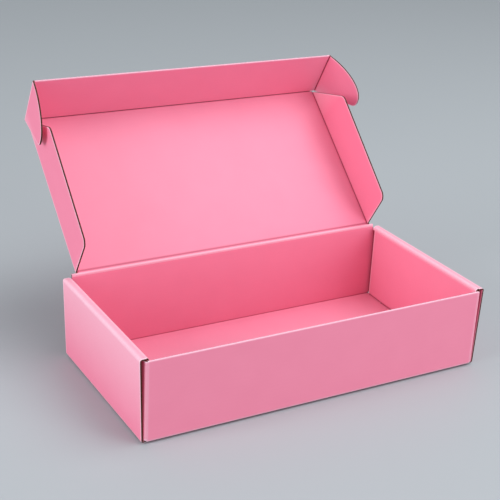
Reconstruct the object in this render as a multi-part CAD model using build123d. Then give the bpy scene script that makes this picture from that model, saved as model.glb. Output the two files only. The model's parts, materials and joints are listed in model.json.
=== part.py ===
from build123d import *
import os

# Tuck-front mailer box, die-cut from one sheet of E-flute corrugated board and folded.
# Right is +X, the hinge side is +Y, up is +Z. The origin is the middle of the underside.
# The lid stands open and leans back. All lengths are in millimetres, all angles in degrees.

# Sheet
board = 1.5
fold_radius = 1.2
layer_gap = 0.4

# Tray
box_width = 300.0
box_depth = 148.0
wall_height = 68.0
side_flare = 2.0
side_setback = 1.0
rim_setback = 0.3
inner_panel_setback = 3.0
front_wall_drop = 1.8
corner_flap_length = 55.0
corner_flap_drop = 0.3
corner_flap_round = 9.0

# Locking tabs under the inner side panels
tab_width = 28.0
tab_taper = 2.0
tab_spacing = 72.0
tab_lift = 0.2
slot_clearance = 0.3

# Lid and its creases
lid_lean = 48.5
lid_rest_gap = 0.3
lid_front_clearance = 1.0
crease_clearance = 0.35
crease_end_inset = 2.0
hinge_end_clearance = 0.3

# Side flaps of the lid
side_flap_fold = 90.0
side_flap_front_width = 41.0
side_flap_rear_width = 37.0
side_flap_rear_offset = 2.2
side_flap_front_offset = 1.8
side_flap_rear_slope = 6.0
side_flap_front_slope = 32.0
side_flap_round = 7.0

# Tuck flap in front of the lid
tuck_fold = 78.5
tuck_height = 45.0

# Ears at the ends of the tuck flap
ear_wall_clearance = 1.8
ear_flap_clearance = 0.5
ear_depth = 43.0
ear_shoulder_height = 20.0
ear_tip_height = 14.5
ear_low_edge_height = 0.6
ear_tip_round = 6.0
left_ear_fold = 85.0
right_ear_fold = 62.0

# Derived places in the tray, measured on the right half and mirrored to the left
half_board = board / 2
layer_pitch = board + layer_gap
foot_x = box_width / 2 - side_flare - half_board
rim_x = box_width / 2 - half_board
rim_z = wall_height - half_board
corner_flap_x = foot_x - layer_pitch
inner_panel_x = corner_flap_x - layer_pitch
inner_face_x = inner_panel_x - half_board
wall_y = box_depth / 2 - half_board
front_top_z = wall_height - front_wall_drop
inner_foot_z = board + layer_gap
side_half_depth = box_depth / 2 - side_setback
rim_half_depth = box_depth / 2 - board - rim_setback
panel_half_depth = box_depth / 2 - board - inner_panel_setback
panel_top_z = rim_z - 2 * fold_radius

# Derived places on the lid
ear_x = inner_face_x - ear_wall_clearance - half_board
lid_half_width = ear_x - half_board - ear_flap_clearance
side_crease_x = lid_half_width - board
hinge_y = wall_y
hinge_z = wall_height + lid_rest_gap + half_board
tuck_clear_y = box_depth / 2 - board - lid_front_clearance - half_board
lid_length = hinge_y + tuck_clear_y
crease_root = half_board + crease_clearance

# Frames of the lid and of what folds on it: x across, y away from the crease, z to the inside
lid_frame = Pos(0, hinge_y, hinge_z) * Rot(90 - lid_lean, 0, 0)
tuck_frame = lid_frame * Pos(0, lid_length, 0) * Rot(tuck_fold, 0, 0)


def bent_strip(points):
    """Section of the board that follows a bent middle line."""
    return trace(FilletPolyline(*points, radius=fold_radius), line_width=board)


def wall_sheet():
    """Base with the front wall and the back wall turned up from it."""
    middle = (
        (-wall_y, front_top_z),
        (-wall_y, half_board),
        (wall_y, half_board),
        (wall_y, front_top_z),
    )
    return extrude(Plane.YZ * bent_strip(middle), amount=corner_flap_x - fold_radius, both=True)


def side_wall():
    """Outer panel, rolled rim and inner panel of the right side, with its strip of the base."""
    outer = ((0, half_board), (foot_x, half_board), (rim_x, rim_z), (inner_panel_x + fold_radius, rim_z))
    rolled = ((rim_x - fold_radius, rim_z), (inner_panel_x, rim_z), (inner_panel_x, panel_top_z))
    wall = extrude(Plane.XZ * bent_strip(outer), amount=side_half_depth, both=True)
    rim = extrude(Plane.XZ * bent_strip(rolled), amount=rim_half_depth, both=True)
    panel = Box(board, 2 * panel_half_depth, panel_top_z - inner_foot_z)
    return wall + rim + Pos(inner_panel_x, 0, (panel_top_z + inner_foot_z) / 2) * panel


def corner_flap(end):
    """Flap folded from the front (-1) or back (+1) wall into the right side wall."""
    root_y = end * wall_y
    middle = (
        (corner_flap_x - 2 * fold_radius, root_y),
        (corner_flap_x, root_y),
        (corner_flap_x, root_y - end * corner_flap_length),
    )
    low = board + corner_flap_drop
    high = front_top_z - corner_flap_drop
    flap = extrude(Plane.XY.offset(low) * bent_strip(middle), amount=high - low)
    free_end = flap.edges().filter_by(Axis.X).sort_by(Axis.Y)
    free_end = free_end[:2] if end > 0 else free_end[-2:]
    return fillet(free_end, radius=corner_flap_round)


def locking_tab(place_y):
    """Tab under the right inner panel that goes through the base."""
    top_half = tab_width / 2
    foot_half = top_half - tab_taper
    root_z = inner_foot_z + layer_gap
    corners = ((-top_half, root_z), (-foot_half, tab_lift), (foot_half, tab_lift), (top_half, root_z))
    outline = make_face(Polyline(*corners, close=True))
    return Pos(inner_panel_x, place_y, 0) * extrude(Plane.YZ * outline, amount=half_board, both=True)


def tab_slot(place_y):
    """Slot for a locking tab, cut through the base."""
    slot = Box(board + 2 * slot_clearance, tab_width + 2 * slot_clearance, board + 2 * layer_gap)
    return Pos(inner_panel_x, place_y, half_board) * slot


def hinge_strip():
    """Upper edge of the back wall, rounded about the hinge crease."""
    low = front_top_z - fold_radius
    section = Pos(hinge_y, (low + hinge_z) / 2) * Rectangle(board, hinge_z - low)
    section += Pos(hinge_y, hinge_z) * Circle(half_board)
    return extrude(Plane.YZ * section, amount=inner_face_x - hinge_end_clearance, both=True)


def tray():
    """The folded tray: base, four walls, corner flaps and locking tabs, all one sheet."""
    tab_places = (-tab_spacing / 2, tab_spacing / 2)
    right = side_wall()
    sheet = wall_sheet() + right + mirror(right, about=Plane.YZ)
    for place_y in tab_places:
        slot = tab_slot(place_y)
        sheet -= slot
        sheet -= mirror(slot, about=Plane.YZ)
    for piece in [corner_flap(-1), corner_flap(1)] + [locking_tab(y) for y in tab_places]:
        sheet += piece
        sheet += mirror(piece, about=Plane.YZ)
    return sheet + hinge_strip()


def lid():
    """Lid panel, with a round front crease and folded edges along both sides."""
    length = lid_length - crease_root
    panel = Pos(0, crease_root + length / 2, 0) * Box(2 * side_crease_x, length, board)
    front_round = Plane.YZ * (Pos(lid_length, 0) * Circle(half_board))
    panel += extrude(front_round, amount=side_crease_x - crease_end_inset, both=True)
    rear = crease_root
    front = lid_length - crease_end_inset
    corner = Circle(board) & (Pos(half_board, -half_board) * Rectangle(board, board))
    edge = extrude(Plane.XZ * (Pos(side_crease_x, half_board) * corner), amount=front - rear)
    edge = Pos(0, front, 0) * edge
    return lid_frame * (panel + edge + mirror(edge, about=Plane.YZ))


def side_flap(side):
    """Side flap of the lid, folded inwards, on the left (-1) or right (+1)."""
    rear = side_flap_rear_offset
    front = lid_length - side_flap_front_offset
    corners = (
        (crease_clearance, rear),
        (side_flap_rear_width, rear + side_flap_rear_slope),
        (side_flap_front_width, front - side_flap_front_slope),
        (crease_clearance, front),
    )
    outline = make_face(Polyline(*corners, close=True))
    outline = fillet(outline.vertices().sort_by(Axis.X)[-2:], radius=side_flap_round)
    flap = extrude(outline, amount=-board)
    if side < 0:
        flap = mirror(flap, about=Plane.YZ)
    return lid_frame * Pos(side * side_crease_x, 0, half_board) * Rot(0, -side * side_flap_fold, 0) * flap


def tuck_flap():
    """Flap on the front crease of the lid that tucks behind the front wall."""
    height = tuck_height - crease_root
    panel = Pos(0, crease_root + height / 2, 0) * Box(2 * ear_x, height, board)
    ear_round = Pos(ear_x, ear_low_edge_height, 0) * Rot(-90, 0, 0) * Cylinder(
        half_board, tuck_height - 2 * ear_low_edge_height, align=(Align.CENTER, Align.CENTER, Align.MIN)
    )
    return tuck_frame * (panel + ear_round + mirror(ear_round, about=Plane.YZ))


def ear(side, fold):
    """Rounded ear on the left (-1) or right (+1) end of the tuck flap."""
    crown = tuck_height - ear_low_edge_height
    reach = ear_depth - crease_root
    curve = EllipticalCenterArc(
        (crease_root, ear_shoulder_height), reach, crown - ear_shoulder_height, start_angle=0, arc_size=90
    )
    edges = Polyline(
        (crease_root, crown),
        (crease_root, ear_low_edge_height),
        (ear_depth, ear_tip_height),
        (ear_depth, ear_shoulder_height),
    )
    outline = make_face(curve.edges() + edges.edges())
    tip = outline.vertices().sort_by_distance((ear_depth, ear_tip_height))[0]
    outline = fillet(tip, radius=ear_tip_round)
    blank = extrude(outline, amount=half_board, both=True)
    if side < 0:
        blank = mirror(blank, about=Plane.YZ)
    return tuck_frame * Pos(side * ear_x, 0, 0) * Rot(0, -side * fold, 0) * blank


os.makedirs("parts", exist_ok=True)
export_step(tray(), "parts/tray.step")
export_step(lid(), "parts/lid.step")
export_step(side_flap(-1), "parts/left_side_flap.step")
export_step(side_flap(1), "parts/right_side_flap.step")
export_step(tuck_flap(), "parts/tuck_flap.step")
export_step(ear(-1, left_ear_fold), "parts/left_ear.step")
export_step(ear(1, right_ear_fold), "parts/right_ear.step")
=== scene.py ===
import json
import math

import bmesh
import bpy
from mathutils import Euler, Matrix, Vector


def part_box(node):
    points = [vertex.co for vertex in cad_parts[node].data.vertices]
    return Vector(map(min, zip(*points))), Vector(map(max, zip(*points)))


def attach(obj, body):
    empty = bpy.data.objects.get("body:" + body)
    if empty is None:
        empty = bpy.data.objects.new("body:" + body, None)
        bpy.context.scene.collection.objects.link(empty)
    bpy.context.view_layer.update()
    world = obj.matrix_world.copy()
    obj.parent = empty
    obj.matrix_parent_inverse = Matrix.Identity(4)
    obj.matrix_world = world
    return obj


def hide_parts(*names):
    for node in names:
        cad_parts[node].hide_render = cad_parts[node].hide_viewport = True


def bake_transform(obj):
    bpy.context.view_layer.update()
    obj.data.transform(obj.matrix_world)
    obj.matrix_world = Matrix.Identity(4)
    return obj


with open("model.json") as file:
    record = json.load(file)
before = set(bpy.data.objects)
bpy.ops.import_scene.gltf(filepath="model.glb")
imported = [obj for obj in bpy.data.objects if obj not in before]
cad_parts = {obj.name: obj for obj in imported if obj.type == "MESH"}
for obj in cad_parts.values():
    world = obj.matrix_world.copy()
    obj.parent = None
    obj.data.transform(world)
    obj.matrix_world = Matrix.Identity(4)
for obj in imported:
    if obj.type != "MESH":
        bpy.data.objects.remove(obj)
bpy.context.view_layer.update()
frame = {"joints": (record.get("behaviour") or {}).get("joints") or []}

# Base with the front and back walls
# The middle strip of the die-cut blank: corrugated board with pink paper on both faces, scored across and
# folded up at front and back. Its flutes run from side to side, so the knife that cut the top edge of the
# front wall ran along them and pressed the two papers together there.
tray_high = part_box("tray")[1]
joints = {joint["name"]: joint for joint in frame["joints"]}
hinge_line = Vector(joints["lid_hinge"]["pos_m"])
board = 0.0015
half_board = board / 2
paper = 0.00022
core_paper = 0.00016
flute_pitch = 0.0033
flute_steps = 10
fold_radius = 0.0012
fold_steps = 8
layer_gap = 0.0004
slot_clearance = 0.0003
pinch_reach = 0.0005
pinch_share = 0.16
# A pale band beside raw and crimped edges: edge rub wear and a painted highlight where the edge catches
# light.
edge_rub_and_highlight_reach = 0.0015
edge_rub_and_highlight_share = 1.1
steepest_edge = 8.0
score_reach = 0.0008
score_depth = 0.00028
score_crush_share = 0.45
corner_shade_and_highlight_reach = 0.0016
crimp_reach = 0.0009
crimp_share = 0.98
crimp_steps = 6
# Painted sheen: a pale band across the middle of the floor inside the tray.
floor_sheen_share = 0.40
floor_sheen_reach = 0.055
edge_lift = 0.0013
bow_steps = 12
foot_x = 0.14725
layer_pitch = board + layer_gap
corner_flap_x = foot_x - layer_pitch
inner_panel_x = corner_flap_x - layer_pitch
slot_inner_x = inner_panel_x - half_board - slot_clearance
wall_half_width = corner_flap_x - fold_radius
wall_y = tray_high.y - half_board
front_top_z = 0.0662
hinge_half_width = slot_inner_x
crease_root = 0.0011
same_place = 1e-7
weld_reach = 1e-6
sharp_angle = math.radians(38)
pink_face = 0
kraft_face = 1


def folded_line(corners, radius):
    """Middle line of a folded strip: straight runs and round folds, one after the other."""
    points = [Vector(corner) for corner in corners]
    runs = []
    start = points[0]
    for before, corner, after in zip(points, points[1:], points[2:]):
        way = (corner - before).normalized()
        next_way = (after - corner).normalized()
        turn = -way.angle_signed(next_way)
        trim = radius * math.tan(abs(turn) / 2)
        fold_start = corner - way * trim
        runs.append((start, way, (fold_start - start).length, 0))
        runs.append((fold_start, way, radius * abs(turn), turn))
        start = corner + next_way * trim
    last_way = (points[-1] - points[-2]).normalized()
    runs.append((start, last_way, (points[-1] - start).length, 0))
    return runs


def line_length(runs):
    """Length of a folded line from end to end."""
    return sum(run[2] for run in runs)


def on_line(runs, distance):
    """Place on a folded line and the direction to its left."""
    for run in runs:
        start, way, length, turn = run
        if distance <= length or run is runs[-1]:
            break
        distance -= length
    left = Vector((-way.y, way.x))
    if turn == 0:
        return start + way * distance, left
    bend = math.copysign(length / abs(turn), turn)
    angle = distance / bend
    centre = start + left * bend
    left = Matrix.Rotation(angle, 2) @ left
    return centre - left * bend, left


def fold_places(runs):
    """Start, middle and end of each fold, as lengths along the line."""
    places = []
    distance = 0.0
    for start, way, length, turn in runs:
        if turn:
            places.append((distance, distance + length / 2, distance + length))
        distance += length
    return places


def evenly(low, high, count):
    """Places at equal steps from low to high, both ends included."""
    return [low + (high - low) * step / count for step in range(count + 1)]


def fold_stops(runs):
    """Close stations through every fold and its scored edges."""
    stops = []
    for low, middle, high in fold_places(runs):
        stops += evenly(low - score_reach, high + score_reach, 2 * fold_steps)
    return stops


def slices(outline, places):
    """Rows of an outline, with more cut in between at the given places across the flutes."""
    rows = []
    for (place, low, high), (next_place, next_low, next_high) in zip(outline, outline[1:]):
        rows.append((place, low, high))
        for between in sorted(places):
            if place + same_place < between < next_place - same_place:
                share = (between - place) / (next_place - place)
                rows.append((between, low + share * (next_low - low), high + share * (next_high - high)))
    rows.append(outline[-1])
    return rows


def fill(mesh, front, back, front_paint, back_paint, rim_paint):
    """Close two grids of points into one sheet: both faces and the rim between them."""
    faces = []
    last_row = len(front) - 1
    last_column = len(front[0]) - 1
    for row in range(last_row):
        for column in range(last_column):
            for grid, paint in ((front, front_paint), (back, back_paint)):
                near = grid[row][column : column + 2]
                far = grid[row + 1][column : column + 2]
                faces.append(((near[0], near[1], far[1], far[0]), paint))
        for column in (0, last_column):
            near = (front[row][column], front[row + 1][column])
            far = (back[row][column], back[row + 1][column])
            faces.append(((near[0], near[1], far[1], far[0]), rim_paint))
    for column in range(last_column):
        for row in (0, last_row):
            near = front[row][column : column + 2]
            far = back[row][column : column + 2]
            faces.append(((near[0], near[1], far[1], far[0]), rim_paint))
    for corners, paint in faces:
        face = mesh.faces.new(corners)
        face.material_index = paint
        face.smooth = True
    points = [point for grid in (front, back) for row in grid for point in row]
    bmesh.ops.remove_doubles(mesh, verts=points, dist=weld_reach)


def finished_piece(name, mesh, materials):
    """Turn the built sheets into a piece with sharp cut edges and round folds."""
    bmesh.ops.dissolve_degenerate(mesh, edges=mesh.edges[:], dist=same_place)
    bmesh.ops.recalc_face_normals(mesh, faces=mesh.faces[:])
    data = bpy.data.meshes.new(name)
    mesh.to_mesh(data)
    mesh.free()
    data.set_sharp_from_angle(angle=sharp_angle)
    for material in materials:
        data.materials.append(material)
    piece = bpy.data.objects.new(name, data)
    bpy.context.scene.collection.objects.link(piece)
    return piece


def board_mesh():
    """An empty mesh whose points carry their place on the sheet, how folded and how raw they are."""
    mesh = bmesh.new()
    marks = [mesh.verts.layers.float.new(name) for name in ("along", "across", "fold", "raw")]
    return mesh, marks


def edge_stretch(rows, index, end):
    """How much further a slanted edge's margin reaches along the flutes than square to the edge."""
    place, reach = rows[index][0], rows[index][end]
    slopes = []
    for row in rows[max(index - 1, 0) : index] + rows[index + 1 : index + 2]:
        if abs(row[0] - place) > same_place:
            slopes.append(min(abs((row[end] - reach) / (row[0] - place)), steepest_edge))
    return math.hypot(1, sum(slopes) / len(slopes)) if slopes else 1.0


def add_board(mesh, marks, outline, stops, place, folds=(), raw_edges=(), crimped=(), wear_and_highlight=1.0, sheen_band=None):
    """Lay up one sheet: a pink paper on each side and the fluted brown paper glued between them.

    The outline has rows across the flutes, each with its ends along the flutes. A fold lies across or
    along, at a place, with its hollow on the inside (+1) or the outside (-1), and reaches some way to both
    sides; its mark paints shade into the pink in its hollow and paints its outside pale, as rub wear and
    painted highlight. A raw edge shows its core, and the knife has crimped the papers together where it
    cut along the flutes; a pale band beside these edges is edge rub and painted highlight. The wear and
    highlight share is how pale the outsides of the folds are painted, and a sheen band is a painted sheen
    along the flutes, on the inside.
    """
    first = outline[0][0]
    last = outline[-1][0]
    margins = (0, pinch_reach / 2, pinch_reach, edge_rub_and_highlight_reach)
    near_edges = [first + margin for margin in margins] + [last - margin for margin in margins]
    crimp_gaps = [crimp_reach * (1 - math.sin(angle)) for angle in evenly(0, math.pi / 2, crimp_steps)]
    if "first" in crimped:
        near_edges += [first + gap for gap in crimp_gaps]
    if "last" in crimped:
        near_edges += [last - gap for gap in crimp_gaps]

    def columns(rows, index):
        across, low, high = rows[index]
        stretch = {"low": edge_stretch(rows, index, 1), "high": edge_stretch(rows, index, 2)}
        middle = (low + high) / 2
        spots = [min(low + margin * stretch["low"], middle) for margin in margins]
        spots += [max(high - margin * stretch["high"], middle) for margin in margins]
        spots += [min(max(stop, low), high) for stop in stops]
        for along in sorted(spots):
            gaps = {
                "low": (along - low) / stretch["low"],
                "high": (high - along) / stretch["high"],
                "first": across - first,
                "last": last - across,
            }
            raw_gap = min([gaps[edge] for edge in raw_edges] + [pinch_reach])
            rub_and_highlight_gap = min([gaps[edge] for edge in raw_edges + crimped] + [edge_rub_and_highlight_reach])
            raw = (1 - max(raw_gap, 0) / pinch_reach) ** 2
            edge_rub_and_highlight = edge_rub_and_highlight_share * (1 - max(rub_and_highlight_gap, 0) / edge_rub_and_highlight_reach)
            yield along, raw, edge_rub_and_highlight

    # The fold mark: below zero is painted crease shade, above zero is rub wear and painted highlight.
    def fold_at(along, across, side):
        value = 0.0
        for direction, position, hollow, reach in folds:
            gap = (along if direction == "along" else across) - position
            value += -hollow * side * math.exp(-((gap / reach) ** 2))
        return value if value < 0 else value * wear_and_highlight

    # A painted sheen: a pale band along the flutes on the inside face.
    def sheen_band_at(across, side):
        if sheen_band is None or side < 0:
            return 0.0
        middle, share, reach = sheen_band
        return share * math.exp(-(((across - middle) / reach) ** 2))

    def crimp(across):
        gaps = {"first": across - first, "last": last - across}
        nearest = min([gaps[edge] for edge in crimped] + [crimp_reach])
        push = 1 - max(nearest, 0) / crimp_reach
        return math.sqrt(1 - crimp_share * push**2)

    def point(along, across, rise, fold, raw):
        corner = mesh.verts.new(place(along, across, rise))
        for layer, value in zip(marks, (along, across, fold, raw)):
            corner[layer] = value
        return corner

    rows = slices(outline, near_edges)
    for side in (1, -1):
        skins = []
        for depth in (0, paper):
            skin = []
            for index, row in enumerate(rows):
                across = row[0]
                line = []
                for along, raw, edge_rub_and_highlight in columns(rows, index):
                    fold = fold_at(along, across, side)
                    squeeze = (1 - pinch_share * raw) * crimp(across)
                    rise = (half_board - depth) * squeeze + score_depth * min(fold, 0)
                    worn_and_highlit = edge_rub_and_highlight + sheen_band_at(across, side)
                    line.append(point(along, across, side * rise, fold + worn_and_highlit, raw))
                skin.append(line)
            skins.append(skin)
        fill(mesh, *skins, pink_face, kraft_face, kraft_face if raw_edges else pink_face)

    wave_height = half_board - paper - core_paper / 2
    wave_count = max(2, round((last - first) / flute_pitch * flute_steps))
    core = ([], [])
    rows = slices(outline, evenly(first, last, wave_count))
    for index, row in enumerate(rows):
        across = row[0]
        phase = math.tau * across / flute_pitch
        steepness = wave_height * math.tau / flute_pitch * math.cos(phase)
        half_paper = core_paper / 2 * math.hypot(1, steepness)
        lines = ([], [])
        for along, raw, edge_rub_and_highlight in columns(rows, index):
            crush = 1 - score_crush_share * min(1, abs(fold_at(along, across, 1)))
            squeeze = (1 - pinch_share * raw) * crush * crimp(across)
            for line, face in zip(lines, (1, -1)):
                rise = (wave_height * math.sin(phase) + face * half_paper) * squeeze
                line.append(point(along, across, rise, 0, raw))
        for skin, line in zip(core, lines):
            skin.append(line)
    fill(mesh, *core, kraft_face, kraft_face, kraft_face)


def link(tree, output, socket):
    """Join two sockets of a material."""
    tree.links.new(output, socket)


def maths(tree, operation, first, second=None, third=None):
    """One sum in a material, from sockets or plain numbers."""
    node = tree.nodes.new("ShaderNodeMath")
    node.operation = operation
    for socket, value in zip(node.inputs, (first, second, third)):
        if value is None:
            continue
        if isinstance(value, (int, float)):
            socket.default_value = value
        else:
            link(tree, value, socket)
    return node.outputs[0]


def clamped(tree, value):
    """A value held between 0 and 1."""
    node = tree.nodes.new("ShaderNodeClamp")
    link(tree, value, node.inputs[0])
    return node.outputs[0]


def blended(tree, amount, under, over):
    """Mix two colours, each a socket or a plain colour."""
    node = tree.nodes.new("ShaderNodeMix")
    node.data_type = "RGBA"
    link(tree, amount, node.inputs["Factor"])
    under_socket, over_socket = node.inputs[6:8]
    for socket, value in ((under_socket, under), (over_socket, over)):
        if isinstance(value, tuple):
            socket.default_value = value + (1.0,)
        else:
            link(tree, value, socket)
    return node.outputs[2]


def mark(tree, name):
    """One of the marks that the points of the sheet carry."""
    node = tree.nodes.new("ShaderNodeAttribute")
    node.attribute_name = name
    return node.outputs["Fac"]


def grain(tree, along_cells, across_cells, detail):
    """Uneven paper: a noise stretched along or across the flutes, in cells per metre."""
    height_cells = 1.7
    place = tree.nodes.new("ShaderNodeTexCoord").outputs["Object"]
    split = tree.nodes.new("ShaderNodeSeparateXYZ")
    link(tree, place, split.inputs[0])
    join = tree.nodes.new("ShaderNodeCombineXYZ")
    link(tree, maths(tree, "MULTIPLY", mark(tree, "along"), along_cells), join.inputs[0])
    link(tree, maths(tree, "MULTIPLY", mark(tree, "across"), across_cells), join.inputs[1])
    link(tree, maths(tree, "MULTIPLY", split.outputs[2], height_cells), join.inputs[2])
    noise = tree.nodes.new("ShaderNodeTexNoise")
    noise.inputs["Scale"].default_value = 1.0
    noise.inputs["Detail"].default_value = detail
    link(tree, join.outputs[0], noise.inputs["Vector"])
    return noise.outputs[0]


def new_paper(name):
    """An empty paper material with its nodes and its shader."""
    material = bpy.data.materials.new(name)
    material.use_nodes = True
    tree = material.node_tree
    shader = tree.nodes["Principled BSDF"]
    return material, tree, shader


def add_relief(tree, shader, height, strength, depth):
    """Raise the paper's surface by a height from its grain."""
    bump = tree.nodes.new("ShaderNodeBump")
    bump.inputs["Strength"].default_value = strength
    bump.inputs["Distance"].default_value = depth
    link(tree, height, bump.inputs["Height"])
    link(tree, bump.outputs[0], shader.inputs["Normal"])


def pink_liner():
    """Matt pink paper: cloudy ink, fine fibres and faint flute lines; folds and edges painted pale as rub
    wear and painted highlight, crease hollows darkened as painted shade.
    """
    pink = (0.88, 0.236, 0.370)
    deep_pink = (0.85, 0.216, 0.345)
    rubbed_and_highlit_pink = (0.95, 0.64, 0.75)
    crease_shade_pink = (0.42, 0.024, 0.075)
    torn_pink = (0.94, 0.48, 0.58)
    cloud_cells = 38.0
    cloud_detail = 3.0
    cloud_contrast = 2.2
    cloud_shift = -0.6
    cloud_share = 0.6
    fibre_along_cells = 420.0
    fibre_across_cells = 2600.0
    fibre_detail = 4.0
    fibre_contrast = 0.9
    fibre_shift = -0.2
    fibre_share = 0.4
    speck_cells = 3800.0
    speck_detail = 2.0
    flute_line_share = 0.06
    rub_and_highlight_share = 0.80
    least_rub_and_highlight = 0.35
    crease_shade_share = 0.75
    torn_contrast = 0.9
    least_torn = 0.3
    roughness_spread = 0.20
    least_roughness = 0.40
    flute_relief_share = 0.30
    fibre_relief_share = 0.55
    speck_relief_share = 0.35
    relief_strength = 0.5
    relief_depth = 0.00003
    material, tree, shader = new_paper("pink_liner")
    clouds = grain(tree, cloud_cells, cloud_cells, cloud_detail)
    fibres = grain(tree, fibre_along_cells, fibre_across_cells, fibre_detail)
    specks = grain(tree, speck_cells, speck_cells, speck_detail)
    ridges = maths(tree, "SINE", maths(tree, "MULTIPLY", mark(tree, "across"), math.tau / flute_pitch))
    cloudy = maths(tree, "MULTIPLY_ADD", clouds, cloud_contrast, cloud_shift)
    fibrous = maths(tree, "MULTIPLY_ADD", fibres, fibre_contrast, fibre_shift)
    tint = maths(tree, "MULTIPLY_ADD", cloudy, cloud_share, maths(tree, "MULTIPLY", fibrous, fibre_share))
    tint = maths(tree, "MULTIPLY_ADD", ridges, flute_line_share, tint)
    colour = blended(tree, clamped(tree, tint), pink, deep_pink)
    fold = mark(tree, "fold")
    # Above zero the fold mark paints the pink paler: rub wear on folds and cut edges together with painted
    # highlight and sheen.
    rubbed_and_highlit = maths(tree, "MULTIPLY", maths(tree, "MAXIMUM", fold, 0.0), rub_and_highlight_share)
    rubbed_and_highlit = maths(tree, "MULTIPLY", rubbed_and_highlit, maths(tree, "ADD", fibres, least_rub_and_highlight))
    colour = blended(tree, maths(tree, "MINIMUM", rubbed_and_highlit, 1.0), colour, rubbed_and_highlit_pink)
    # Painted shade: below zero the fold mark darkens the pink towards a deep red in the hollows of
    # creases.
    hollow = maths(tree, "MAXIMUM", maths(tree, "MULTIPLY", fold, -1.0), 0.0)
    crease_shaded = maths(tree, "MULTIPLY", hollow, crease_shade_share)
    colour = blended(tree, maths(tree, "MINIMUM", crease_shaded, 1.0), colour, crease_shade_pink)
    torn = maths(tree, "MULTIPLY_ADD", specks, torn_contrast, least_torn)
    torn = maths(tree, "MULTIPLY", mark(tree, "raw"), torn)
    colour = blended(tree, maths(tree, "MINIMUM", torn, 1.0), colour, torn_pink)
    link(tree, colour, shader.inputs["Base Color"])
    roughness = maths(tree, "MULTIPLY_ADD", fibres, roughness_spread, least_roughness)
    link(tree, roughness, shader.inputs["Roughness"])
    shader.inputs["Specular IOR Level"].default_value = 0.5
    relief = maths(tree, "MULTIPLY", fibres, fibre_relief_share)
    relief = maths(tree, "MULTIPLY_ADD", ridges, flute_relief_share, relief)
    relief = maths(tree, "MULTIPLY_ADD", specks, speck_relief_share, relief)
    add_relief(tree, shader, relief, relief_strength, relief_depth)
    return material


def shaded_kraft_core():
    """Brown fluting paper and the unprinted backs of the pink papers, rough where they are cut; its browns
    are darker than plain kraft, painted shade of the flute hollows.
    """
    # Painted shade: both browns are darker than plain kraft, standing for the shade in the flutes at cut
    # edges.
    lighter_shaded_kraft = (0.22, 0.098, 0.060)
    darker_shaded_kraft = (0.095, 0.036, 0.026)
    fibre_along_cells = 700.0
    fibre_across_cells = 2400.0
    fibre_detail = 4.0
    fibre_share = 0.8
    fleck_cells = 1500.0
    fleck_detail = 2.0
    fleck_share = 0.7
    fleck_shift = -0.35
    relief_strength = 0.6
    relief_depth = 0.00004
    material, tree, shader = new_paper("shaded_kraft_core")
    fibres = grain(tree, fibre_along_cells, fibre_across_cells, fibre_detail)
    flecks = grain(tree, fleck_cells, fleck_cells, fleck_detail)
    shade = maths(tree, "MULTIPLY_ADD", flecks, fleck_share, fleck_shift)
    shade = maths(tree, "MULTIPLY_ADD", fibres, fibre_share, shade)
    colour = blended(tree, clamped(tree, shade), darker_shaded_kraft, lighter_shaded_kraft)
    link(tree, colour, shader.inputs["Base Color"])
    shader.inputs["Roughness"].default_value = 0.88
    shader.inputs["Specular IOR Level"].default_value = 0.15
    add_relief(tree, shader, fibres, relief_strength, relief_depth)
    return material


papers = (pink_liner(), shaded_kraft_core())
wall_line = folded_line(
    (
        (-wall_y, front_top_z),
        (-wall_y, half_board),
        (wall_y, half_board),
        (wall_y, hinge_line.z),
    ),
    fold_radius,
)
front_fold, back_fold = fold_places(wall_line)
base_middle = (front_fold[2] + back_fold[0]) / 2
wall_end = line_length(wall_line)
shoulder = wall_end - (hinge_line.z - front_top_z)
wall_outline = [
    (0, -wall_half_width, wall_half_width),
    (front_fold[2], -wall_half_width, wall_half_width),
    (front_fold[2], -slot_inner_x, slot_inner_x),
    (back_fold[0], -slot_inner_x, slot_inner_x),
    (back_fold[0], -wall_half_width, wall_half_width),
    (shoulder, -wall_half_width, wall_half_width),
    (shoulder, -hinge_half_width, hinge_half_width),
    (wall_end - crease_root, -hinge_half_width, hinge_half_width),
]


def settled(spot):
    """The base bows down between its folds, so the box's bottom edges stand just clear of the floor."""
    beyond = (abs(spot.x) - slot_inner_x) / (foot_x - slot_inner_x)
    share = min(max(beyond, 0), 1)
    bow = share + (1 - share) * min(abs(spot.y) / wall_y, 1) ** 2
    return spot + Vector((0, 0, edge_lift * bow * max(1 - spot.z / front_top_z, 0)))


def wall_place(along, across, rise):
    """Where a point of the base or of its two walls lies in the folded box."""
    middle, inside = on_line(wall_line, across)
    spot = middle + inside * rise
    return settled(Vector((along, spot.x, spot.y)))


# Painted shade darkens the floor's creases and the corners inside the tray, and rub wear with painted
# highlight pales their outsides.
wall_folds = [("across", fold[1], 1, score_reach) for fold in (front_fold, back_fold)]
wall_folds += [("along", end * corner_flap_x, 1, corner_shade_and_highlight_reach) for end in (-1, 1)]
wall_cuts = fold_stops(wall_line) + evenly(front_fold[2], back_fold[0], bow_steps)
mesh, marks = board_mesh()
add_board(
    mesh,
    marks,
    slices(wall_outline, wall_cuts),
    (),
    wall_place,
    folds=wall_folds,
    crimped=("first",),
    # Painted sheen across the middle of the tray's floor.
    sheen_band=(base_middle, floor_sheen_share, floor_sheen_reach),
)
base_and_walls = finished_piece("base_and_walls", mesh, papers)
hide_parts("tray")
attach(base_and_walls, "tray")

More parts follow.
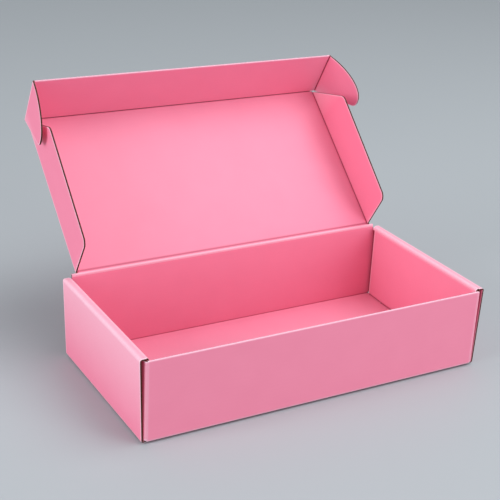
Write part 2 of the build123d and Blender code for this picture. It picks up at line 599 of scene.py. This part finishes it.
# Rolled side walls
# Each side of the blank folds up, over a narrow rim and down inside as a second wall, and locks with two
# tabs in slots of the base. The corner flaps are caught between its layers, so nothing is glued.
side_setback = 0.001
rim_setback = 0.0003
panel_setback = 0.003
side_half_depth = tray_high.y - side_setback
rim_half_depth = tray_high.y - board - rim_setback
panel_half_depth = tray_high.y - board - panel_setback
rim_x = 0.14925
rim_z = 0.06725
inner_foot_z = board + layer_gap
tab_width = 0.028
tab_half = tab_width / 2
tab_taper = 0.002
tab_spacing = 0.072
tab_lift = 0.0002
slot_half = (tab_width + 2 * slot_clearance) / 2
slot_outer_x = inner_panel_x + half_board + slot_clearance
slot_reach = slot_outer_x - slot_inner_x
rim_sheen_reach = 0.0024
foot_shadow_reach = 3 * score_reach
side_line = folded_line(
    (
        (slot_inner_x, half_board),
        (foot_x, half_board),
        (rim_x, rim_z),
        (inner_panel_x, rim_z),
        (inner_panel_x, inner_foot_z),
    ),
    fold_radius,
)
foot_fold, outer_rim_fold, inner_rim_fold = fold_places(side_line)
rim_start = inner_rim_fold[0]
panel_top = inner_rim_fold[2] + fold_radius
panel_end = line_length(side_line)
tab_end = panel_end + inner_foot_z - tab_lift
outer_rows = [
    (-side_half_depth, foot_fold[0], rim_start),
    (-wall_y + fold_radius, foot_fold[0], rim_start),
    (-wall_y + fold_radius, 0, rim_start),
]
back_rows = [(-place, low, high) for place, low, high in reversed(outer_rows)]
rim_rows = [(end * rim_half_depth, rim_start, panel_top) for end in (-1, 1)]
inner_rows = [(-panel_half_depth, panel_top, panel_end)]
for tab_y in (-tab_spacing / 2, tab_spacing / 2):
    outer_rows.append((tab_y - slot_half, 0, rim_start))
    outer_rows.append((tab_y - slot_half, slot_reach, rim_start))
    outer_rows.append((tab_y + slot_half, slot_reach, rim_start))
    outer_rows.append((tab_y + slot_half, 0, rim_start))
    inner_rows.append((tab_y - tab_half, panel_top, panel_end))
    inner_rows.append((tab_y - tab_half + tab_taper, panel_top, tab_end))
    inner_rows.append((tab_y + tab_half - tab_taper, panel_top, tab_end))
    inner_rows.append((tab_y + tab_half, panel_top, panel_end))
outer_rows += back_rows
inner_rows.append((panel_half_depth, panel_top, panel_end))
outer_rows = slices(outer_rows, evenly(-side_half_depth, side_half_depth, bow_steps))
inner_rows = slices(inner_rows, evenly(-panel_half_depth, panel_half_depth, bow_steps))
rolled_folds = [("along", foot_fold[1], 1, score_reach)]
# The rolled rims are painted pale over their whole top as a painted sheen, and the hollow inside the roll
# is painted dark.
rolled_folds += [("along", fold[1], 1, rim_sheen_reach) for fold in (outer_rim_fold, inner_rim_fold)]
# Painted shadow: a dark line on the inner panel's face where it meets the floor.
panel_folds = rolled_folds + [("along", panel_end, -1, score_reach)]
side_stops = fold_stops(side_line)
outer_stops = [stop for stop in side_stops if stop < rim_start]
rim_stops = [stop for stop in side_stops if rim_start < stop < panel_top]
inner_stops = [stop for stop in side_stops if stop > panel_top]
inner_stops += evenly(panel_end - foot_shadow_reach, panel_end, fold_steps)

for side_name, side in (("left", -1), ("right", 1)):

    def side_place(along, across, rise):
        """Where a point of this side's rolled wall lies in the folded box."""
        middle, inside = on_line(side_line, along)
        spot = middle + inside * rise
        return settled(Vector((side * spot.x, across, spot.y)))

    mesh, marks = board_mesh()
    for rows, stops, folds in (
        (outer_rows, outer_stops, rolled_folds),
        (rim_rows, rim_stops, rolled_folds),
        (inner_rows, inner_stops, panel_folds),
    ):
        add_board(mesh, marks, rows, stops, side_place, folds, raw_edges=("first", "last"))
    side_wall = finished_piece(side_name + "_side_wall", mesh, papers)
    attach(side_wall, "tray")

# Corner flaps
# A flap on each end of the front and back walls, folded round the corner and trapped in the rolled side
# wall. Only its round upright fold shows, in the narrow slot at the corner.
corner_flap_length = 0.055
corner_flap_round = 0.009
corner_flap_drop = 0.0003
corner_flap_low = board + corner_flap_drop
corner_flap_high = front_top_z - corner_flap_drop
corner_wear_and_highlight = 0.4
corner_line = folded_line(
    (
        (wall_half_width, 0),
        (corner_flap_x, 0),
        (corner_flap_x, corner_flap_length),
    ),
    fold_radius,
)
corner_fold = fold_places(corner_line)[0]
corner_end = line_length(corner_line)


def round_end(low, high, reach, radius, steps):
    """Rows of a strip whose free end has two round corners."""
    rows = []
    for angle in evenly(0, math.pi / 2, steps):
        place = low + radius - radius * math.cos(angle)
        rows.append((place, 0, reach - radius + radius * math.sin(angle)))
    return rows + [(low + high - place, start, end) for place, start, end in reversed(rows)]


corner_rows = round_end(corner_flap_low, corner_flap_high, corner_end, corner_flap_round, fold_steps)
for end_name, end in (("front", -1), ("back", 1)):
    for side_name, side in (("left", -1), ("right", 1)):

        def corner_place(along, across, rise):
            """Where a point of this corner's flap lies in the folded box."""
            middle, inside = on_line(corner_line, along)
            spot = middle + inside * rise
            return settled(Vector((side * spot.x, end * (wall_y - spot.y), across)))

        mesh, marks = board_mesh()
        add_board(
            mesh,
            marks,
            corner_rows,
            fold_stops(corner_line),
            corner_place,
            # Painted shade darkens the inside of the round fold deep in the corner slot; its outside is
            # painted pale as rub wear and highlight.
            folds=[("along", corner_fold[1], 1, corner_shade_and_highlight_reach)],
            raw_edges=("high", "first", "last"),
            wear_and_highlight=corner_wear_and_highlight,
        )
        corner_flap = finished_piece(end_name + "_" + side_name + "_corner_flap", mesh, papers)
        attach(corner_flap, "tray")

# Lid panel
# The flat top of the box, the next panel of the same blank, leaning back on its crease along the back
# wall. Its flutes run from side to side like the base, and a second score lies close to the hinge.
up = Vector(joints["left_side_flap_crease"]["axis"])
inward = Vector((0, -up.z, up.y))
front_line = Vector(joints["tuck_flap_crease"]["pos_m"])
lid_length = (front_line - hinge_line).length
side_crease_x = abs(joints["left_side_flap_crease"]["pos_m"][0])
hinge_score = 0.0026
hinge_score_margin = 2 * score_reach
side_score_reach = 0.0005
# Painted sheen: a pale band across the middle of the lid's inside.
lid_sheen_share = 0.10
lid_sheen_reach = 0.07
lid_outline = [
    (crease_root, -side_crease_x, side_crease_x),
    (lid_length - half_board, -side_crease_x, side_crease_x),
]
# The fold marks paint shade into the inside of the lid's creases and paint their outsides pale as rub wear
# and highlight.
lid_folds = [("across", hinge_score, 1, score_reach), ("across", lid_length, 1, score_reach)]
lid_folds += [("along", place, 1, side_score_reach) for place in (-side_crease_x, side_crease_x)]
lid_cuts = evenly(hinge_score - hinge_score_margin, hinge_score + hinge_score_margin, fold_steps)
lid_cuts += evenly(hinge_score, lid_length, bow_steps)


def lid_place(along, across, rise):
    """Where a point of the lid lies, with the lid open."""
    return Vector((along, 0, 0)) + hinge_line + up * across + inward * rise


mesh, marks = board_mesh()
add_board(
    mesh,
    marks,
    slices(lid_outline, lid_cuts),
    (),
    lid_place,
    folds=lid_folds,
    # Painted sheen across the middle of the lid.
    sheen_band=(lid_length / 2, lid_sheen_share, lid_sheen_reach),
)
lid_panel = finished_piece("lid_panel", mesh, papers)
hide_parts("lid")
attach(lid_panel, "lid")

# Lid hinge
# The scored crease where the lid turns on the back wall. Both pink papers of the board run through it, one
# on the inside and one on the outside, and hold the lid.
band_steps = 10
# Painted shade: the inner paper of a crease strip and the valley of a flat crease are darkened.
full_crease_shade = -1.0
hinge_highlight_and_shade_share = 0.6


def crease_mesh(ends, outer, inner, place, outer_folds, paints):
    """A strip through a crease, from its outer and inner points in the plane across the crease."""
    mesh, marks = board_mesh()
    grids = []
    # The inner paper is painted fully in crease shade.
    for points, folds in ((outer, outer_folds), (inner, [full_crease_shade] * len(inner))):
        grid = []
        distance = 0.0
        before = points[0]
        for spot, fold in zip(points, folds):
            distance += (Vector(spot) - Vector(before)).length
            before = spot
            line = []
            for along in ends:
                corner = mesh.verts.new(place(along, spot))
                for layer, value in zip(marks, (along, distance, fold, 0.0)):
                    corner[layer] = value
                line.append(corner)
            grid.append(line)
        grids.append(grid)
    fill(mesh, *grids, *paints)
    return mesh


def arc(radius, start, end):
    """Points round the crease's own line, from one angle to another."""
    angles = evenly(start, end, band_steps)
    return [(radius * math.cos(angle), radius * math.sin(angle)) for angle in angles]


def hinge_place(along, spot):
    """Where a point of the hinge lies, from its place round the hinge line."""
    return hinge_line + Vector((along, spot[0], spot[1]))


hinge_ends = (-hinge_half_width, hinge_half_width)
lid_foot = Vector((up.y, up.z)) * crease_root
lean_angle = math.atan2(inward.z, inward.y)
for face_name, rise in (("inside", 1), ("outside", -1)):
    wall_way = math.pi if rise > 0 else 0.0
    lid_way = lean_angle if rise > 0 else lean_angle - math.pi
    bands = []
    for radius in (half_board, half_board - paper):
        wall_end_spot = (math.cos(wall_way) * radius, -crease_root)
        lid_end_spot = (
            lid_foot.x + math.cos(lid_way) * radius,
            lid_foot.y + math.sin(lid_way) * radius,
        )
        bands.append([wall_end_spot] + arc(radius, wall_way, lid_way) + [lid_end_spot])
    # Painted highlight and rub on the hinge's inside bead, and painted shade on its outside.
    hinge_folds = [hinge_highlight_and_shade_share * rise] * len(bands[0])
    hinge_paints = (pink_face, kraft_face, pink_face)
    mesh = crease_mesh(hinge_ends, *bands, hinge_place, hinge_folds, hinge_paints)
    hinge_paper = finished_piece("hinge_crease_" + face_name, mesh, papers)
    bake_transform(hinge_paper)

# Side flaps of the lid
# A tapered flap with round corners along each side of the lid, folded square on its score. It is cut
# across the flutes, so its long free edge shows the brown waves between two pink papers.
side_flap_front_width = 0.041
side_flap_rear_width = 0.037
side_flap_rear_offset = 0.0022
side_flap_front_offset = 0.0018
side_flap_rear_slope = 0.006
side_flap_front_slope = 0.032
side_flap_round = 0.007
crease_clearance = 0.00035
crease_end_inset = 0.002
# Rub wear and painted highlight on the outsides of the flap, tuck and ear creases.
crease_rub_and_highlight_share = 0.8


def rounded_edge(corners, radius, steps):
    """Free edge of a flap through its corners, with each inner corner cut round."""
    points = [Vector(corner) for corner in corners]
    edge = [points[0]]
    for before, corner, after in zip(points, points[1:], points[2:]):
        back = (before - corner).normalized()
        ahead = (after - corner).normalized()
        half_angle = back.angle(ahead) / 2
        trim = radius / math.tan(half_angle)
        centre = corner + (back + ahead).normalized() * (radius / math.sin(half_angle))
        start = corner + back * trim - centre
        finish = corner + ahead * trim - centre
        sweep = start.angle_signed(finish)
        for step in range(steps + 1):
            edge.append(centre + Matrix.Rotation(-sweep * step / steps, 2) @ start)
    return edge + [points[-1]]


flap_front = lid_length - side_flap_front_offset
flap_edge = rounded_edge(
    (
        (side_flap_rear_offset, crease_clearance),
        (side_flap_rear_offset + side_flap_rear_slope, side_flap_rear_width),
        (flap_front - side_flap_front_slope, side_flap_front_width),
        (flap_front, crease_clearance),
    ),
    side_flap_round,
    fold_steps,
)
flap_rows = [(spot.x, crease_clearance, spot.y) for spot in flap_edge]
# Painted shade inside the flap's crease, rub wear and painted highlight outside.
flap_folds = [("along", 0, 1, side_score_reach)]
flap_crease_ends = (crease_root, lid_length - crease_end_inset)
flap_crease_outer = arc(board, -math.pi / 2, 0) + [(board, crease_clearance)]
flap_crease_inner = arc(crease_clearance, -math.pi / 2, 0) + [(crease_clearance, crease_clearance)]
flap_crease_folds = [crease_rub_and_highlight_share] * len(flap_crease_outer)
for side_name, side in (("left", -1), ("right", 1)):
    flap_crease = Vector(joints[side_name + "_side_flap_crease"]["pos_m"])
    outward = Vector((side, 0, 0))

    def flap_place(along, across, rise):
        """Where a point of this side flap lies, with the lid open."""
        return flap_crease + up * across + inward * along + outward * (half_board - rise)

    mesh, marks = board_mesh()
    add_board(mesh, marks, flap_rows, (), flap_place, flap_folds, raw_edges=("high",))
    side_flap = finished_piece(side_name + "_side_flap_board", mesh, papers)
    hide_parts(side_name + "_side_flap")
    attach(side_flap, side_name + "_side_flap")

    def flap_crease_place(along, spot):
        """Where a point of this side flap's crease lies, with the lid open."""
        return flap_crease + up * along + outward * spot[0] + inward * spot[1]

    mesh = crease_mesh(
        flap_crease_ends,
        flap_crease_outer,
        flap_crease_inner,
        flap_crease_place,
        flap_crease_folds,
        (pink_face, pink_face, kraft_face),
    )
    flap_fold = finished_piece(side_name + "_side_flap_crease", mesh, papers)
    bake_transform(flap_fold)

# Tuck flap
# The flap on the lid's front edge that slides down behind the front wall. Its free edge is cut along the
# flutes, so the two papers meet there in a plain pink edge.
along_tuck = Vector(joints["left_ear_crease"]["axis"])
tuck_inward = Vector((0, -along_tuck.z, along_tuck.y))
tuck_height = 0.045
ear_x = abs(joints["left_ear_crease"]["pos_m"][0])
tuck_half_width = ear_x - half_board
tuck_rows = [(place, -tuck_half_width, tuck_half_width) for place in (crease_root, tuck_height)]
# Painted shade inside the tuck flap's creases, rub wear and painted highlight outside.
tuck_folds = [("across", 0, 1, score_reach)]
tuck_folds += [("along", place, 1, score_reach) for place in (-ear_x, ear_x)]
# Painted crease shade along the inside valley of a flat crease.
valley_shades = (-0.6, full_crease_shade, full_crease_shade, full_crease_shade, -0.4)


def tuck_place(along, across, rise):
    """Where a point of the tuck flap lies, with the lid open."""
    return front_line + Vector((along, 0, 0)) + along_tuck * across + tuck_inward * rise


mesh, marks = board_mesh()
add_board(mesh, marks, tuck_rows, (), tuck_place, tuck_folds, crimped=("last",))
tuck_board = finished_piece("tuck_flap_board", mesh, papers)
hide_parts("tuck_flap")
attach(tuck_board, "tuck_flap")


def flat_crease(name, crease, axis_way, parent_ways, child_ways, ends):
    """Both papers through a crease whose line lies in the middle of the board.

    The ways of a panel are the direction in which the sheet runs through it and the one to its inside.
    """
    parent_way, parent_inside = parent_ways
    child_way, child_inside = child_ways

    def crease_place(along, spot):
        return crease + axis_way * along + parent_way * spot[0] + parent_inside * spot[1]

    child_angle = math.atan2(child_way @ parent_inside, child_way @ parent_way)
    child_side = Vector((child_inside @ parent_way, child_inside @ parent_inside))
    child_foot = Vector((math.cos(child_angle), math.sin(child_angle))) * crease_root
    bands = []
    for radius in (half_board, half_board - 2 * paper):
        band = [(-half_board, -radius)]
        band += arc(radius, -math.pi / 2, child_angle - math.pi / 2)
        band.append(tuple(child_foot - child_side * radius))
        bands.append(band)
    outer_folds = [crease_rub_and_highlight_share] * len(bands[0])
    paints = (pink_face, kraft_face, kraft_face)
    mesh = crease_mesh(ends, *bands, crease_place, outer_folds, paints)
    outside = finished_piece(name + "_outside", mesh, papers)
    valley = [(-half_board, half_board - score_depth / 2), (-half_board / 2, paper), (0, -paper)]
    under = [(spot[0], spot[1] - paper) for spot in valley]
    child_valley = [child_foot / 2 + child_side * paper, child_foot + child_side * half_board]
    valley += [tuple(spot) for spot in child_valley]
    under += [tuple(spot - child_side * paper) for spot in child_valley]
    mesh = crease_mesh(ends, valley, under, crease_place, valley_shades, paints)
    inside = finished_piece(name + "_inside", mesh, papers)
    for strip in (outside, inside):
        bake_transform(strip)


flat_crease(
    "tuck_flap_crease",
    front_line,
    Vector((1, 0, 0)),
    (up, inward),
    (along_tuck, tuck_inward),
    (-side_crease_x + crease_end_inset, side_crease_x - crease_end_inset),
)

# Ears of the tuck flap
# A rounded ear on each end of the tuck flap, folded towards the tray so that it slips in beside the side
# flap. The right one springs open more than the left. Their curved edges cut the flutes and show brown.
ear_depth = 0.043
ear_shoulder = 0.020
ear_tip = 0.0145
ear_low = 0.0006
ear_high = tuck_height - ear_low
ear_tip_round = 0.006
ear_steps = 3 * fold_steps
ear_turns = {"left": math.radians(85), "right": math.radians(62)}
ear_edge = rounded_edge(
    (
        (ear_low, crease_root),
        (ear_tip, ear_depth),
        (ear_shoulder, ear_depth),
    ),
    ear_tip_round,
    fold_steps,
)
for angle in evenly(0, math.pi / 2, ear_steps)[1:]:
    reach = crease_root + (ear_depth - crease_root) * math.cos(angle)
    ear_edge.append(Vector((ear_shoulder + (ear_high - ear_shoulder) * math.sin(angle), reach)))
ear_rows = [(spot.x, crease_root, spot.y) for spot in ear_edge]
# Painted shade inside the ear's crease, rub wear and painted highlight outside.
ear_folds = [("along", 0, 1, score_reach)]
for side_name, side in (("left", -1), ("right", 1)):
    ear_crease = Vector(joints[side_name + "_ear_crease"]["pos_m"])
    ear_turn = ear_turns[side_name]
    outward = Vector((side, 0, 0))
    ear_way = outward * math.cos(ear_turn) + tuck_inward * math.sin(ear_turn)
    ear_inside = tuck_inward * math.cos(ear_turn) - outward * math.sin(ear_turn)

    def ear_place(along, across, rise):
        """Where a point of this ear lies, with the lid open."""
        return ear_crease + along_tuck * across + ear_way * along + ear_inside * rise

    mesh, marks = board_mesh()
    add_board(mesh, marks, ear_rows, (), ear_place, ear_folds, raw_edges=("high",))
    ear = finished_piece(side_name + "_ear_board", mesh, papers)
    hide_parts(side_name + "_ear")
    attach(ear, side_name + "_ear")
    flat_crease(
        side_name + "_ear_crease",
        ear_crease,
        along_tuck,
        (outward, tuck_inward),
        (ear_way, ear_inside),
        (ear_low, ear_high),
    )

# Floor, light and camera
# A plain floor under soft studio light: a lamp low on the left, another low in front on the right and a
# broad one above. The camera stands at the photograph's angle.
floor_size = 12.0
floor_grey = (0.42, 0.455, 0.48, 1)
bpy.ops.mesh.primitive_plane_add(size=floor_size, location=(0, 0, 0))
floor = bpy.context.object
floor.name = "floor"
floor_material = bpy.data.materials.new("pale_floor")
floor_material.use_nodes = True
floor_shader = floor_material.node_tree.nodes["Principled BSDF"]
floor_shader.inputs["Base Color"].default_value = floor_grey
floor_shader.inputs["Roughness"].default_value = 0.6
floor.data.materials.append(floor_material)

scene = bpy.context.scene
scene.view_settings.view_transform = "Standard"
sky_white = (0.93, 0.96, 1.0, 1)
world = bpy.data.worlds.new("studio")
world.use_nodes = True
sky = world.node_tree.nodes["Background"]
sky.inputs["Color"].default_value = sky_white
sky.inputs["Strength"].default_value = 0.50
scene.world = world

lamp_aim = Vector((0, 0, 0.08))
lamps = (
    ("left_lamp", Vector((-1.85, -0.1, 0.65)), 1.0, 22.0),
    ("front_lamp", Vector((1.05, -1.9, 0.60)), 1.0, 15.5),
    ("top_lamp", Vector((0.78, -0.40, 1.85)), 1.6, 25.0),
)
for lamp_name, lamp_place, lamp_width, lamp_power in lamps:
    light = bpy.data.lights.new(lamp_name, "AREA")
    light.size = lamp_width
    light.energy = lamp_power
    lamp = bpy.data.objects.new(lamp_name, light)
    lamp.location = lamp_place
    lamp.rotation_euler = (lamp_aim - lamp_place).to_track_quat("-Z", "Y").to_euler()
    scene.collection.objects.link(lamp)

view_yaw = math.radians(30.236)
view_pitch = math.radians(22.777)
view_roll = math.radians(3.041)
eye = Vector((-0.4487, -0.7264, 0.4537))
focal_pixels = 1187.43
photo_pixels = 500
camera_data = bpy.data.cameras.new("camera")
camera_data.sensor_width = 36.0
camera_data.lens = camera_data.sensor_width * focal_pixels / photo_pixels
camera = bpy.data.objects.new("camera", camera_data)
view_turn = Euler((math.pi / 2 - view_pitch, 0, -view_yaw)).to_matrix()
view_turn = view_turn @ Matrix.Rotation(view_roll, 3, "Z")
camera.matrix_world = Matrix.Translation(eye) @ view_turn.to_4x4()
scene.collection.objects.link(camera)
scene.camera = camera
